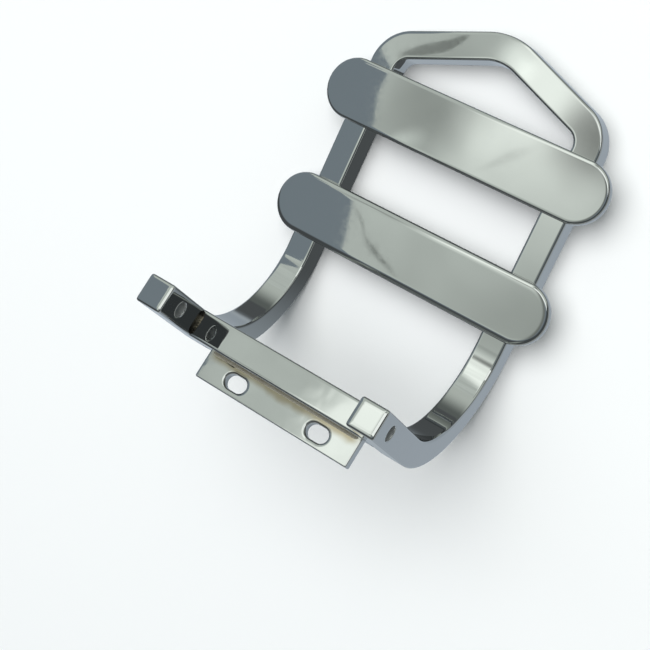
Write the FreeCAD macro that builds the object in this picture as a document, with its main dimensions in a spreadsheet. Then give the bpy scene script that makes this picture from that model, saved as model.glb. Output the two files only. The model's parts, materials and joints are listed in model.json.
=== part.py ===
import FreeCAD, Part
import Sketcher
import math
import os

# Motorcycle luggage rack: a bent square bar, two deck slats, a cross bar and a bolt plate, welded.
# +Z is up and +Y is the loop's end. The rails' undersides lie on Z = 0, and X = 0 is the mirror plane.

os.makedirs("parts", exist_ok=True)
doc = FreeCAD.newDocument("luggage_rack")

# Driving sizes, in millimetres and degrees
SIZES = [
    ("bar_side", 12.7, "side of the square bar"),
    ("bar_edge", 0.8, "flat along the bar's corners, measured on each face"),
    ("end_edge", 0.9, "bevel round the bar's cut ends"),
    ("rail_pitch", 103.4, "centre to centre of the rails"),
    ("front_slat_y", -12.1, "middle of the front slat"),
    ("slat_pitch", 56.6, "front slat to rear slat"),
    ("slat_length", 142.5, "slat, end to end"),
    ("slat_width", 28.2, "slat, front to rear"),
    ("slat_thickness", 4.8, "flat bar of the slats"),
    ("slat_edge", 2.0, "rounding round the slats' faces"),
    ("loop_reach", 48.3, "rear slat's middle to the loop's outermost point"),
    ("loop_slope", 20.4, "rake of the loop's two straight sides"),
    ("shoulder_radius", 13.0, "bend at the loop's shoulders, on the bar's middle line"),
    ("peak_radius", 26.0, "bend at the loop's peak, on the bar's middle line"),
    ("bend_lead", 20.0, "front slat's middle to the start of the front bend"),
    ("bend_radius", 45.6, "front bend, on the bar's middle line"),
    ("ear_lean", 18.1, "how far the ears lean back from upright"),
    ("ear_straight", 50.0, "straight length of an ear"),
    ("ear_hole", 6.6, "cross-drilled hole in each ear"),
    ("ear_hole_drop", 13.8, "ear's end to the middle of its hole"),
    ("ear_hole_bevel", 0.4, "bevel round the mouths of an ear's hole"),
    ("cross_bar_drop", 30.7, "ear's end to the top of the cross bar"),
    ("plate_end_gap", 5.9, "bolt plate's end to the ear beside it"),
    ("plate_depth", 25.4, "bolt plate, back to front"),
    ("plate_thickness", 4.8, "flat bar of the bolt plate"),
    ("plate_corner", 0.8, "rounding of the plate's corners"),
    ("plate_bevel", 0.5, "bevel round the plate's faces and slots"),
    ("plate_slot_pitch", 42.6, "middle to middle of the plate's slots"),
    ("plate_slot_width", 6.8, "slot, front to back"),
    ("plate_slot_length", 10.4, "slot, end to end"),
    ("plate_slot_inset", 6.0, "plate's front edge to the slots' middle line"),
    ("slat_weld", 2.0, "radius of a bead under a slat"),
    ("slat_weld_length", 20.0, "length of a bead under a slat"),
    ("bar_weld", 2.0, "radius of a bead at an end of the cross bar"),
    ("seam_weld", 2.0, "radius of the seam on the bolt plate"),
    ("seam_margin", 2.0, "plate's end to the end of the seam"),
]

sheet = doc.addObject("Spreadsheet::Sheet", "Sizes")
for row, (alias, number, note) in enumerate(SIZES, start=1):
    sheet.set(f"A{row}", note)
    sheet.set(f"B{row}", str(number))
    sheet.setAlias(f"B{row}", alias)
doc.recompute()

# Places worked out from the sizes, as expressions
HALF_BAR = "(Sizes.bar_side / 2)"
RAIL_X = "(Sizes.rail_pitch / 2)"
REAR_SLAT_Y = "(Sizes.front_slat_y + Sizes.slat_pitch)"
PEAK_Y = f"({REAR_SLAT_Y} + Sizes.loop_reach - {HALF_BAR} - Sizes.peak_radius)"
BEND_Y = "(Sizes.front_slat_y - Sizes.bend_lead)"
SLAT_ROUNDING = "min(Sizes.slat_edge; 0.45 * Sizes.slat_thickness)"
PLATE_LENGTH = "(Sizes.rail_pitch - Sizes.bar_side - 2 * Sizes.plate_end_gap)"
LEAN = "(Sizes.ear_lean * 1 deg)"
BEND_Z = f"({HALF_BAR} + Sizes.bend_radius)"


def along_ear(drop, forward="0"):
    """Y and Z of the point that lies drop below an ear's end and forward of its middle line."""
    run = f"(Sizes.ear_straight - ({drop}))"
    out = f"(Sizes.bend_radius + ({forward}))"
    y = f"({BEND_Y} - {out} * cos({LEAN}) + {run} * sin({LEAN}))"
    z = f"({BEND_Z} + {out} * sin({LEAN}) + {run} * cos({LEAN}))"
    return y, z


# Sketch points and axes, as Sketcher numbers them
START, END, CENTRE = range(1, 4)
AXIS_X, AXIS_Y = range(-1, -3, -1)
ORIGIN = (AXIS_X, START)
UPRIGHT = FreeCAD.Vector(0, 0, 1)
SIDEWAYS = FreeCAD.Vector(1, 0, 0)


# Helpers

def value(expression):
    """The number that an expression gives with the sheet's present sizes."""
    result = sheet.evalExpression(expression)
    return getattr(result, "Value", result)


def origin_plane(body, role):
    """The body's own origin plane of that role."""
    return next(item for item in body.Origin.OriginFeatures if item.Role == role)


def new_body(name):
    """A body whose label is the piece's name."""
    body = doc.addObject("PartDesign::Body", name)
    body.Label = name
    return body


def new_sketch(body, name, role, offset="0"):
    """A sketch on one of the body's origin planes, moved along the plane's normal."""
    sketch = body.newObject("Sketcher::SketchObject", name)
    sketch.AttachmentSupport = [(origin_plane(body, role), "")]
    sketch.MapMode = "FlatFace"
    sketch.setExpression("AttachmentOffset.Base.z", offset)
    return sketch


def drive(sketch, kind, *places, size=None):
    """Adds a constraint, bound to an expression where a size is given."""
    if size is None:
        return sketch.addConstraint(Sketcher.Constraint(kind, *places))
    number = value(size)
    if kind == "Angle":
        number = math.radians(number)
    index = sketch.addConstraint(Sketcher.Constraint(kind, *places, number))
    sketch.setExpression(f"Constraints[{index}]", size)
    return index


def line(sketch, start, end):
    segment = Part.LineSegment(FreeCAD.Vector(*start), FreeCAD.Vector(*end))
    return sketch.addGeometry(segment, False)


def arc(sketch, centre, radius, first, last):
    """A counter-clockwise arc between two angles in degrees."""
    circle = Part.Circle(FreeCAD.Vector(*centre), UPRIGHT, radius)
    return sketch.addGeometry(
        Part.ArcOfCircle(circle, math.radians(first), math.radians(last)), False
    )


def square_section(sketch, x_place, y_place):
    """The bar's square section round a middle point, its corners cut flat."""
    x, y = value(x_place), value(y_place)
    half, cut = value(HALF_BAR), value("Sizes.bar_edge")
    corners = [
        (x - half + cut, y - half), (x + half - cut, y - half),
        (x + half, y - half + cut), (x + half, y + half - cut),
        (x + half - cut, y + half), (x - half + cut, y + half),
        (x - half, y + half - cut), (x - half, y - half + cut),
    ]
    sides = [line(sketch, a, b) for a, b in zip(corners, corners[1:] + corners[:1])]
    for side, following in zip(sides, sides[1:] + sides[:1]):
        drive(sketch, "Coincident", side, END, following, START)
    bottom, right, top, left = sides[0::2]
    for flat in (bottom, top):
        drive(sketch, "Horizontal", flat)
    for flat in (left, right):
        drive(sketch, "Vertical", flat)
    for flat in (right, top, left):
        drive(sketch, "Equal", bottom, flat)
    drive(sketch, "DistanceX", bottom, START, bottom, END, size="Sizes.bar_side - 2 * Sizes.bar_edge")
    drive(sketch, "DistanceX", *ORIGIN, left, START, size=f"{x_place} - {HALF_BAR}")
    drive(sketch, "DistanceX", *ORIGIN, right, START, size=f"{x_place} + {HALF_BAR}")
    drive(sketch, "DistanceY", *ORIGIN, bottom, START, size=f"{y_place} - {HALF_BAR}")
    drive(sketch, "DistanceY", *ORIGIN, top, START, size=f"{y_place} + {HALF_BAR}")
    drive(sketch, "DistanceX", bottom, END, right, START, size="Sizes.bar_edge")
    drive(sketch, "DistanceY", bottom, END, right, START, size="Sizes.bar_edge")


def slot(sketch, x_place, y_place, length, width):
    """A slot along X round a middle point, from expressions for its place, length and width."""
    x, y = value(x_place), value(y_place)
    radius = value(width) / 2
    reach = (value(length) - value(width)) / 2
    right = arc(sketch, (x + reach, y), radius, -90, 90)
    left = arc(sketch, (x - reach, y), radius, 90, 270)
    top = line(sketch, (x + reach, y + radius), (x - reach, y + radius))
    bottom = line(sketch, (x - reach, y - radius), (x + reach, y - radius))
    drive(sketch, "Tangent", right, END, top, START)
    drive(sketch, "Tangent", top, END, left, START)
    drive(sketch, "Tangent", left, END, bottom, START)
    drive(sketch, "Tangent", bottom, END, right, START)
    drive(sketch, "Horizontal", bottom)
    drive(sketch, "Radius", right, size=f"{width} / 2")
    drive(sketch, "DistanceX", *ORIGIN, right, CENTRE, size=f"{x_place} + ({length} - {width}) / 2")
    drive(sketch, "DistanceX", *ORIGIN, left, CENTRE, size=f"{x_place} - ({length} - {width}) / 2")
    drive(sketch, "DistanceY", *ORIGIN, right, CENTRE, size=y_place)


def rounded_rectangle(sketch, left_x, right_x, bottom_y, top_y, corner):
    """A rectangle with round corners, from expressions for its sides and its corner radius."""
    x0, x1, y0, y1, radius = map(value, (left_x, right_x, bottom_y, top_y, corner))
    bottom = line(sketch, (x0 + radius, y0), (x1 - radius, y0))
    right = line(sketch, (x1, y0 + radius), (x1, y1 - radius))
    top = line(sketch, (x1 - radius, y1), (x0 + radius, y1))
    left = line(sketch, (x0, y1 - radius), (x0, y0 + radius))
    corners = [
        arc(sketch, (x1 - radius, y0 + radius), radius, 270, 360),
        arc(sketch, (x1 - radius, y1 - radius), radius, 0, 90),
        arc(sketch, (x0 + radius, y1 - radius), radius, 90, 180),
        arc(sketch, (x0 + radius, y0 + radius), radius, 180, 270),
    ]
    sides = [bottom, right, top, left]
    for side, turn, following in zip(sides, corners, sides[1:] + sides[:1]):
        drive(sketch, "Tangent", side, END, turn, START)
        drive(sketch, "Tangent", turn, END, following, START)
    for turn in corners[1:]:
        drive(sketch, "Equal", corners[0], turn)
    for flat in (bottom, top):
        drive(sketch, "Horizontal", flat)
    for flat in (left, right):
        drive(sketch, "Vertical", flat)
    drive(sketch, "Radius", corners[0], size=corner)
    drive(sketch, "DistanceX", *ORIGIN, left, START, size=left_x)
    drive(sketch, "DistanceX", *ORIGIN, right, START, size=right_x)
    drive(sketch, "DistanceY", *ORIGIN, bottom, START, size=bottom_y)
    drive(sketch, "DistanceY", *ORIGIN, top, START, size=top_y)


def pad(body, sketch, name, length, midplane=False):
    feature = body.newObject("PartDesign::Pad", name)
    feature.Profile = sketch
    feature.setExpression("Length", length)
    feature.Midplane = midplane
    return feature


def sweep(body, section, path, name):
    """Carries a section along a path sketch."""
    feature = body.newObject("PartDesign::AdditivePipe", name)
    feature.Profile = section
    feature.Spine = (path, [])
    feature.Refine = True
    return feature


def cut_through(body, sketch, name):
    """A pocket through everything on both sides of its sketch."""
    doc.recompute()
    before = body.Shape.Volume
    feature = body.newObject("PartDesign::Pocket", name)
    feature.Profile = sketch
    feature.Type = "ThroughAll"
    feature.Midplane = True
    doc.recompute()
    if not body.Shape.Volume < before:
        raise RuntimeError(f"{name} cuts nothing")
    return feature


def dress_edges(body, kind, name, size, picks):
    """A fillet or chamfer on those edges of the body's last feature that picks accepts."""
    doc.recompute()
    base = body.Tip
    names = [f"Edge{i}" for i, edge in enumerate(base.Shape.Edges, start=1) if picks(edge)]
    if not names:
        raise RuntimeError(f"{name} finds no edges")
    feature = body.newObject(f"PartDesign::{kind}", name)
    feature.Base = (base, names)
    feature.setExpression("Radius" if kind == "Fillet" else "Size", size)
    doc.recompute()
    return feature


def lies_flat(edge):
    """Whether an edge keeps one height in its body's own frame."""
    return edge.BoundBox.ZLength < 0.01


def place(piece, x="0", y="0", z="0", leant=False):
    """Puts a piece at its place, leant back with the ears where asked."""
    if leant:
        piece.Placement.Rotation = FreeCAD.Rotation(SIDEWAYS, -1)
        piece.setExpression("Placement.Rotation.Angle", f"-{LEAN}")
    piece.setExpression("Placement.Base.x", x)
    piece.setExpression("Placement.Base.y", y)
    piece.setExpression("Placement.Base.z", z)


# The bent square bar: rear loop, rails, front bends and drilled ears

def make_frame_bar():
    body = new_body("frame_bar")
    section = new_sketch(body, "bar_section", "XZ_Plane", f"-{BEND_Y}")
    square_section(section, RAIL_X, HALF_BAR)
    loop_path = new_sketch(body, "loop_path", "XY_Plane", HALF_BAR)
    draw_loop_path(loop_path)
    sweep(body, section, loop_path, "loop")
    bend_path = new_sketch(body, "bend_path", "YZ_Plane", RAIL_X)
    draw_bend_path(bend_path)
    bend = sweep(body, section, bend_path, "right_bend")

    left_bend = body.newObject("PartDesign::Mirrored", "left_bend")
    left_bend.Originals = [bend]
    left_bend.MirrorPlane = (origin_plane(body, "YZ_Plane"), [""])
    body.Tip = left_bend
    finish_ears(body)
    return body


def draw_loop_path(sketch):
    """The middle line in plan: rail, shoulder, raked side, peak, and the same again mirrored."""
    rail, start_y, peak_y = value(RAIL_X), value(BEND_Y), value(PEAK_Y)
    shoulder, peak = value("Sizes.shoulder_radius"), value("Sizes.peak_radius")
    steep = 90 - value("Sizes.loop_slope")
    out_x, out_y = math.cos(math.radians(steep)), math.sin(math.radians(steep))
    shoulder_x = rail - shoulder
    shoulder_y = peak_y + (peak - shoulder - shoulder_x * out_x) / out_y
    peak_end = (peak * out_x, peak_y + peak * out_y)
    shoulder_end = (shoulder_x + shoulder * out_x, shoulder_y + shoulder * out_y)
    chain = [
        line(sketch, (rail, start_y), (rail, shoulder_y)),
        arc(sketch, (shoulder_x, shoulder_y), shoulder, 0, steep),
        line(sketch, shoulder_end, peak_end),
        arc(sketch, (0, peak_y), peak, steep, 180 - steep),
        line(sketch, (-peak_end[0], peak_end[1]), (-shoulder_end[0], shoulder_end[1])),
        arc(sketch, (-shoulder_x, shoulder_y), shoulder, 180 - steep, 180),
        line(sketch, (-rail, shoulder_y), (-rail, start_y)),
    ]
    for first, second in zip(chain, chain[1:]):
        drive(sketch, "Tangent", first, END, second, START)
    right_rail, right_shoulder, _, nose, _, left_shoulder, left_rail = chain
    drive(sketch, "Vertical", right_rail)
    drive(sketch, "Vertical", left_rail)
    drive(sketch, "DistanceX", *ORIGIN, right_rail, START, size=RAIL_X)
    drive(sketch, "DistanceX", left_rail, END, *ORIGIN, size=RAIL_X)
    drive(sketch, "DistanceY", *ORIGIN, right_rail, START, size=BEND_Y)
    drive(sketch, "DistanceY", *ORIGIN, left_rail, END, size=BEND_Y)
    drive(sketch, "Radius", right_shoulder, size="Sizes.shoulder_radius")
    drive(sketch, "Equal", right_shoulder, left_shoulder)
    drive(sketch, "Radius", nose, size="Sizes.peak_radius")
    drive(sketch, "PointOnObject", nose, CENTRE, AXIS_Y)
    drive(sketch, "DistanceY", *ORIGIN, nose, CENTRE, size=PEAK_Y)
    drive(sketch, "Angle", nose, size="2 * Sizes.loop_slope")
    drive(sketch, "Symmetric", nose, START, nose, END, AXIS_Y)


def draw_bend_path(sketch):
    """The middle line from the side: one arc, then the straight ear."""
    ear_root = [value(place) for place in along_ear("Sizes.ear_straight")]
    ear_end = [value(place) for place in along_ear("0")]
    lean = value("Sizes.ear_lean")
    bend = arc(sketch, (value(BEND_Y), value(BEND_Z)), value("Sizes.bend_radius"), 180 - lean, 270)
    ear = line(sketch, ear_root, ear_end)
    drive(sketch, "Tangent", bend, START, ear, START)
    drive(sketch, "DistanceX", *ORIGIN, bend, END, size=BEND_Y)
    drive(sketch, "DistanceY", *ORIGIN, bend, END, size=HALF_BAR)
    drive(sketch, "Vertical", bend, CENTRE, bend, END)
    drive(sketch, "Radius", bend, size="Sizes.bend_radius")
    drive(sketch, "Angle", bend, size="90 + Sizes.ear_lean")
    drive(sketch, "Distance", ear, size="Sizes.ear_straight")


def finish_ears(body):
    """Bevels the cut ends of both ears and drills their holes."""
    end_y, end_z = map(value, along_ear("0"))
    end_centre = FreeCAD.Vector(0, end_y, end_z)
    lean = math.radians(value("Sizes.ear_lean"))
    normal = FreeCAD.Vector(0, math.sin(lean), math.cos(lean))

    def on_cut_end(edge):
        return all(abs((v.Point - end_centre).dot(normal)) < 0.001 for v in edge.Vertexes)

    dress_edges(body, "Chamfer", "bevelled_ends", "Sizes.end_edge", on_cut_end)
    drill = new_sketch(body, "ear_hole_circle", "YZ_Plane")
    hole_y, hole_z = along_ear("Sizes.ear_hole_drop")
    radius = value("Sizes.ear_hole") / 2
    middle = FreeCAD.Vector(value(hole_y), value(hole_z))
    circle = drill.addGeometry(Part.Circle(middle, UPRIGHT, radius), False)
    drive(drill, "Diameter", circle, size="Sizes.ear_hole")
    drive(drill, "DistanceX", *ORIGIN, circle, CENTRE, size=hole_y)
    drive(drill, "DistanceY", *ORIGIN, circle, CENTRE, size=hole_z)
    cut_through(body, drill, "ear_holes")

    def on_hole_mouth(edge):
        return edge.Closed and abs(edge.Length - 2 * math.pi * radius) < 0.001

    dress_edges(body, "Chamfer", "bevelled_holes", "Sizes.ear_hole_bevel", on_hole_mouth)


# The deck's two slats, flat bars with fully rounded ends

def make_slat(name, middle_y):
    body = new_body(name)
    outline = new_sketch(body, f"{name}_outline", "XY_Plane")
    slot(outline, "0", "0", "Sizes.slat_length", "Sizes.slat_width")
    pad(body, outline, f"{name}_bar", "Sizes.slat_thickness")
    dress_edges(body, "Fillet", f"{name}_rounding", SLAT_ROUNDING, lies_flat)
    place(body, y=middle_y, z="Sizes.bar_side")
    return body


# The square bar between the ears

def make_cross_bar():
    body = new_body("cross_bar")
    section = new_sketch(body, "cross_bar_section", "YZ_Plane")
    square_section(section, "0", "0")
    pad(body, section, "cross_bar_length", "Sizes.rail_pitch - Sizes.bar_side", midplane=True)
    y, z = along_ear(f"Sizes.cross_bar_drop + {HALF_BAR}")
    place(body, y=y, z=z, leant=True)
    return body


# The flat bar under the cross bar, flush with its back, with two short slots

def make_bolt_plate():
    body = new_body("bolt_plate")
    front = f"({HALF_BAR} - Sizes.plate_depth)"
    outline = new_sketch(body, "plate_outline", "XY_Plane")
    rounded_rectangle(
        outline, f"-{PLATE_LENGTH} / 2", f"{PLATE_LENGTH} / 2", front, HALF_BAR,
        "Sizes.plate_corner",
    )
    pad(body, outline, "plate_bar", "Sizes.plate_thickness")
    slots = new_sketch(body, "plate_slots", "XY_Plane")
    for side in (-1, 1):
        slot(
            slots, f"{side} * Sizes.plate_slot_pitch / 2", f"{front} + Sizes.plate_slot_inset",
            "Sizes.plate_slot_length", "Sizes.plate_slot_width",
        )
    cut_through(body, slots, "slots")
    dress_edges(body, "Chamfer", "bevelled_plate", "Sizes.plate_bevel", lies_flat)
    y, z = along_ear("Sizes.cross_bar_drop + Sizes.bar_side + Sizes.plate_thickness")
    place(body, y=y, z=z, leant=True)
    return body


# Weld beads: rods that lie in a corner, cut back to the two pieces that they join

def make_bead(name, radius, length, middle, turn, joined):
    """A bead of that radius and length round its middle, turned from upright."""
    rod = doc.addObject("Part::Cylinder", f"{name}_rod")
    rod.setExpression("Radius", radius)
    rod.setExpression("Height", length)
    along = turn.multVec(UPRIGHT)
    rod.Placement.Rotation = turn
    for axis, at, step in zip("xyz", middle, along):
        rod.setExpression(f"Placement.Base.{axis}", f"{at} - {round(step, 9)} * ({length}) / 2")
    piece = rod
    for index, other in enumerate(joined):
        cut = doc.addObject("Part::Cut", f"{name}_cut_{index}")
        cut.Base = piece
        cut.Tool = other
        piece = cut
    piece.Label = name
    return piece


frame_bar = make_frame_bar()
front_slat = make_slat("front_slat", "Sizes.front_slat_y")
rear_slat = make_slat("rear_slat", REAR_SLAT_Y)
cross_bar = make_cross_bar()
bolt_plate = make_bolt_plate()
pieces = [frame_bar, front_slat, rear_slat, cross_bar, bolt_plate]

# Beads under each slat, along both sides of each rail
to_rear = FreeCAD.Rotation(SIDEWAYS, -90)
for slat, slat_y in ((front_slat, "Sizes.front_slat_y"), (rear_slat, REAR_SLAT_Y)):
    for side, sign in (("left", -1), ("right", 1)):
        for face, way in (("inner", -1), ("outer", 1)):
            name = f"{slat.Label}_{side}_{face}_weld"
            middle = (f"{sign} * ({RAIL_X} + {way} * {HALF_BAR})", slat_y, "Sizes.bar_side")
            pieces.append(make_bead(
                name, "Sizes.slat_weld", "Sizes.slat_weld_length", middle, to_rear,
                [slat, frame_bar],
            ))

# Beads under the ends of the cross bar, along the ears' inner faces
under_y, under_z = along_ear("Sizes.cross_bar_drop + Sizes.bar_side")
through_ear = FreeCAD.Rotation(SIDEWAYS, -90 - value("Sizes.ear_lean"))
for side, sign in (("left", -1), ("right", 1)):
    middle = (f"{sign} * ({RAIL_X} - {HALF_BAR})", under_y, under_z)
    pieces.append(make_bead(
        f"cross_bar_{side}_weld", "Sizes.bar_weld", "Sizes.bar_side - 2 * Sizes.bar_edge",
        middle, through_ear, [cross_bar, frame_bar],
    ))

# The seam along the corner between the cross bar's front and the bolt plate
seam_y, seam_z = along_ear("Sizes.cross_bar_drop + Sizes.bar_side", HALF_BAR)
sideways = FreeCAD.Rotation(FreeCAD.Vector(0, 1, 0), 90)
pieces.append(make_bead(
    "bolt_plate_weld", "Sizes.seam_weld", f"{PLATE_LENGTH} - 2 * Sizes.seam_margin",
    ("0", seam_y, seam_z), sideways, [cross_bar, bolt_plate],
))
doc.recompute()

# Every object has to be sound before anything is written
for item in doc.Objects:
    if "Invalid" in item.State or "Error" in item.State:
        raise RuntimeError(f"{item.Label} failed: {item.State}")
for piece in pieces:
    if piece.Shape.isNull() or not piece.Shape.isValid() or piece.Shape.Volume <= 0:
        raise RuntimeError(f"{piece.Label} has no sound shape")
for piece in pieces:
    piece.Shape.exportStep(f"parts/{piece.Label}.step")
    print(piece.Label, round(piece.Shape.Volume, 1), len(piece.Shape.Solids))
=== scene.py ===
import json
import math

import bpy
import numpy as np
from bpy.props import FloatProperty, FloatVectorProperty, PointerProperty
from mathutils import Matrix, Vector
from mathutils.geometry import tessellate_polygon


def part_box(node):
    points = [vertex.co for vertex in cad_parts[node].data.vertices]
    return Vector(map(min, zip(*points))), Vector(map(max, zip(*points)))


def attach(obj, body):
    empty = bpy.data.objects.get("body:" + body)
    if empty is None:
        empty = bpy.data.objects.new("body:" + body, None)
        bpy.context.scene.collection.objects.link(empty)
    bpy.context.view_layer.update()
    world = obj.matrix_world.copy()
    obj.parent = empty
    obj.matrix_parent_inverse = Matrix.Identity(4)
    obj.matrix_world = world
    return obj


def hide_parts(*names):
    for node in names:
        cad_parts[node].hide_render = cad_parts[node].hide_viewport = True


bl_info = {
    "name": "Luggage Rack Looks",
    "version": (1, 0, 0),
    "blender": (4, 5, 0),
    "location": "3D View > Sidebar > Rack",
    "description": "Surfaces and finishes of a chrome plated luggage rack round its packed frame",
    "category": "Object",
}

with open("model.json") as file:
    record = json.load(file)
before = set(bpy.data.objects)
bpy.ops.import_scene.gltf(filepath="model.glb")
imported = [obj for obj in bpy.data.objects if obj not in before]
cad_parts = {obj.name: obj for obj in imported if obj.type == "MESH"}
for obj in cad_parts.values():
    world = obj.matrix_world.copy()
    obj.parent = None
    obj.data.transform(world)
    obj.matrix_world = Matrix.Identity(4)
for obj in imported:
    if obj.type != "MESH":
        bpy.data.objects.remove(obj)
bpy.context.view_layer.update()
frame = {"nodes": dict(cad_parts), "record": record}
MOUNTS = {mount["name"]: mount for mount in frame["record"]["mounts"]}
MM = 0.001

# Directions and sizes that the frame gives, in metres
EAR_AXIS = Vector(MOUNTS["left_plate_slot"]["axis"]).normalized()
FORWARD = Vector((0.0, -EAR_AXIS.z, EAR_AXIS.y))
SIDEWAYS = Vector((1.0, 0.0, 0.0))
REARWARD = Vector((0.0, 1.0, 0.0))
UPRIGHT = Vector((0.0, 0.0, 1.0))
EAR_LEAN = math.atan2(EAR_AXIS.y, EAR_AXIS.z)
BAR_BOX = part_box("frame_bar")
BAR_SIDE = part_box("front_slat")[0].z
HALF_BAR = BAR_SIDE / 2
RAIL_X = BAR_BOX[1].x - HALF_BAR
EAR_HOLE = Vector(MOUNTS["right_ear_hole"]["pos_m"])
EAR_HOLE_RADIUS = MOUNTS["right_ear_hole"]["dims"]["r_mm"] * MM
SLOT_HALF_WIDTH = MOUNTS["right_plate_slot"]["dims"]["hole_r_mm"] * MM
SLOT_HALF_LENGTH = MOUNTS["right_plate_slot"]["dims"]["slot_length_mm"] * MM / 2


# Sizes and colours that a user would change

def size_of(name, description, default):
    """A length in metres, shown with its unit."""
    return FloatProperty(
        name=name, description=description, default=default, min=0.0, unit="LENGTH", precision=5
    )


def colour_of(name, description, hex_code):
    """A colour given as an sRGB hex code and kept linear."""
    return FloatVectorProperty(
        name=name, description=description, default=linear(hex_code), subtype="COLOR", size=3,
        min=0.0, max=1.0,
    )


def linear(hex_code):
    """The linear colour of an sRGB hex code: each channel through the standard's inverse curve."""
    channels = [int(hex_code[i:i + 2], 16) / 255 for i in (1, 3, 5)]
    return tuple(c / 12.92 if c <= 0.04045 else ((c + 0.055) / 1.055) ** 2.4 for c in channels)


class RackSizes(bpy.types.PropertyGroup):
    bar_rounding: size_of("Bar corner", "Reach of the polished corners along the square bar", 0.0016)
    end_rounding: size_of("Cut end", "Reach of the rounding down the cut ends of the ears", 0.0013)
    end_dome: size_of("Domed end", "Reach of the rounding over the cut ends of the ears", 0.0021)
    bend_radius: size_of("Front bend", "Front bend, on the bar's middle line", 0.0456)
    ear_straight: size_of("Ear", "Straight length of an ear", 0.050)
    ear_hole_drop: size_of("Hole drop", "Ear's end to the middle of its hole", 0.0138)
    shoulder_radius: size_of("Shoulder", "Loop's shoulder, on the bar's middle line", 0.013)
    peak_radius: size_of("Peak", "Loop's peak, on the bar's middle line", 0.026)
    loop_slope: FloatProperty(
        name="Loop rake", description="Rake of the loop's straight sides",
        default=math.radians(20.4), subtype="ANGLE",
    )
    hole_flare: size_of("Hole mouth", "Reach of the rounding at the mouths of the ears' holes", 0.0010)
    slot_flare: size_of("Slot mouth", "Reach of the rounding at the mouths of the slots", 0.0016)
    front_slat_edge: size_of("Front slat edge", "Reach of its rounded edge over its face", 0.0033)
    rear_slat_edge: size_of("Rear slat edge", "Reach of its rounded edge over its face", 0.0021)
    slat_rounding: size_of("Slat edge height", "Reach of a slat's rounded edge down its side", 0.0017)
    plate_depth: size_of("Plate depth", "Bolt plate, back to front", 0.0254)
    plate_thickness: size_of("Plate thickness", "Flat bar of the bolt plate", 0.0048)
    plate_corner: size_of("Plate corner", "Rounding of the bolt plate's corners", 0.0008)
    plate_rounding: size_of("Plate edge", "Reach of the rounding round the bolt plate", 0.0008)
    slot_inset: size_of("Slot inset", "Plate's front edge to the slots' middle line", 0.006)
    bead_toe: size_of("Bead toe", "Reach of a bead over the slat or the cross bar", 0.0022)
    bead_height: size_of("Bead height", "Reach of a bead over the side of the bar", 0.0026)
    seam_toe: size_of("Seam toe", "Reach of the seam over the bolt plate", 0.0011)
    seam_height: size_of("Seam height", "Reach of the seam up the cross bar", 0.0018)
    bead_length: size_of("Slat bead", "Length of a bead under a slat", 0.020)
    corner_bead: size_of("Top bead", "Reach of the bead on top of the cross bar, both ways", 0.0016)
    seam_margin: size_of("Seam margin", "Seam's end to the end of the bolt plate", 0.002)
    ripple_pitch: size_of("Ripple pitch", "Distance between two ripples of a bead", 0.0012)
    ripple_height: size_of("Ripple height", "Height of the ripples of a bead", 0.00005)


class RackFinish(bpy.types.PropertyGroup):
    chrome: colour_of("Chrome", "Mirror colour of the plating", "#BCBEBD")
    weld: colour_of("Weld", "Plating over the weld beads", "#A8A496")
    straw: colour_of("Straw", "Plating that the seam's heat tinted", "#98907E")
    burnt: colour_of("Burnt", "Dark plating over the beads on top of the cross bar", "#2E2C28")
    floor: colour_of("Floor", "Colour of the floor", "#ECEDEE")


def sizes():
    """The rack's sizes, as the sidebar holds them."""
    return bpy.context.scene.rack_sizes


def finish():
    """The finishes' colours, as the sidebar holds them."""
    return bpy.context.scene.rack_finish


# Meshes

# A polished corner's turn: the share of it that goes evenly with the length, how far in from
# either end the rest of it starts, and the points of its integral for each step of the mesh
EVEN_SHARE = 0.3
SLOW_REACH = 0.2
FINE_STEPS = 50

# The least distance between two points of a mesh, and between two stations along a piece
POINT_GAP = 1e-8
STATION_GAP = 1e-6


class Skin:
    """Vertices, their normals and faces, gathered patch by patch."""

    def __init__(self):
        self.points, self.normals, self.faces, self.count = [], [], [], 0

    def add(self, points, normals):
        """Adds vertices, an array of any shape by 3, and returns their numbers in that shape."""
        numbers = np.arange(self.count, self.count + points[..., 0].size).reshape(points.shape[:-1])
        self.points.append(points.reshape(-1, 3))
        self.normals.append(normals.reshape(-1, 3))
        self.count += numbers.size
        return numbers

    def quads(self, numbers, keep=None, flip=False):
        """Joins rows of vertices, each row a closed ring, by quads between neighbours."""
        a, d = numbers[:-1], numbers[1:]
        b, c = np.roll(a, -1, axis=1), np.roll(d, -1, axis=1)
        corners = np.stack([a, b, c, d], axis=-1)
        chosen = corners.reshape(-1, 4) if keep is None else corners[keep]
        self.faces += (chosen[:, ::-1] if flip else chosen).tolist()

    def flat(self, outline, holes, facing):
        """Fills a flat outline round its holes, all rings of vertex numbers, towards a direction."""
        rings = [outline, *holes]
        points = np.concatenate(self.points)
        corners = np.concatenate(rings)
        loops = [[Vector(point) for point in points[ring]] for ring in rings]
        chosen = corners[np.array(tessellate_polygon(loops))]
        edges = points[chosen[:, 1:]] - points[chosen[:, :1]]
        turned = np.cross(edges[:, 0], edges[:, 1]) @ np.array(facing) < 0
        chosen[turned] = chosen[turned][:, ::-1]
        self.faces += chosen.tolist()

    def piece(self, name, material):
        """The finished object, smooth, with the exact normals of its formula."""
        mesh = bpy.data.meshes.new(name)
        mesh.from_pydata(np.concatenate(self.points).tolist(), [], self.faces)
        mesh.shade_smooth()
        mesh.normals_split_custom_set_from_vertices(np.concatenate(self.normals).tolist())
        mesh.materials.append(material)
        piece = bpy.data.objects.new(name, mesh)
        bpy.context.scene.collection.objects.link(piece)
        return piece


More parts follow.
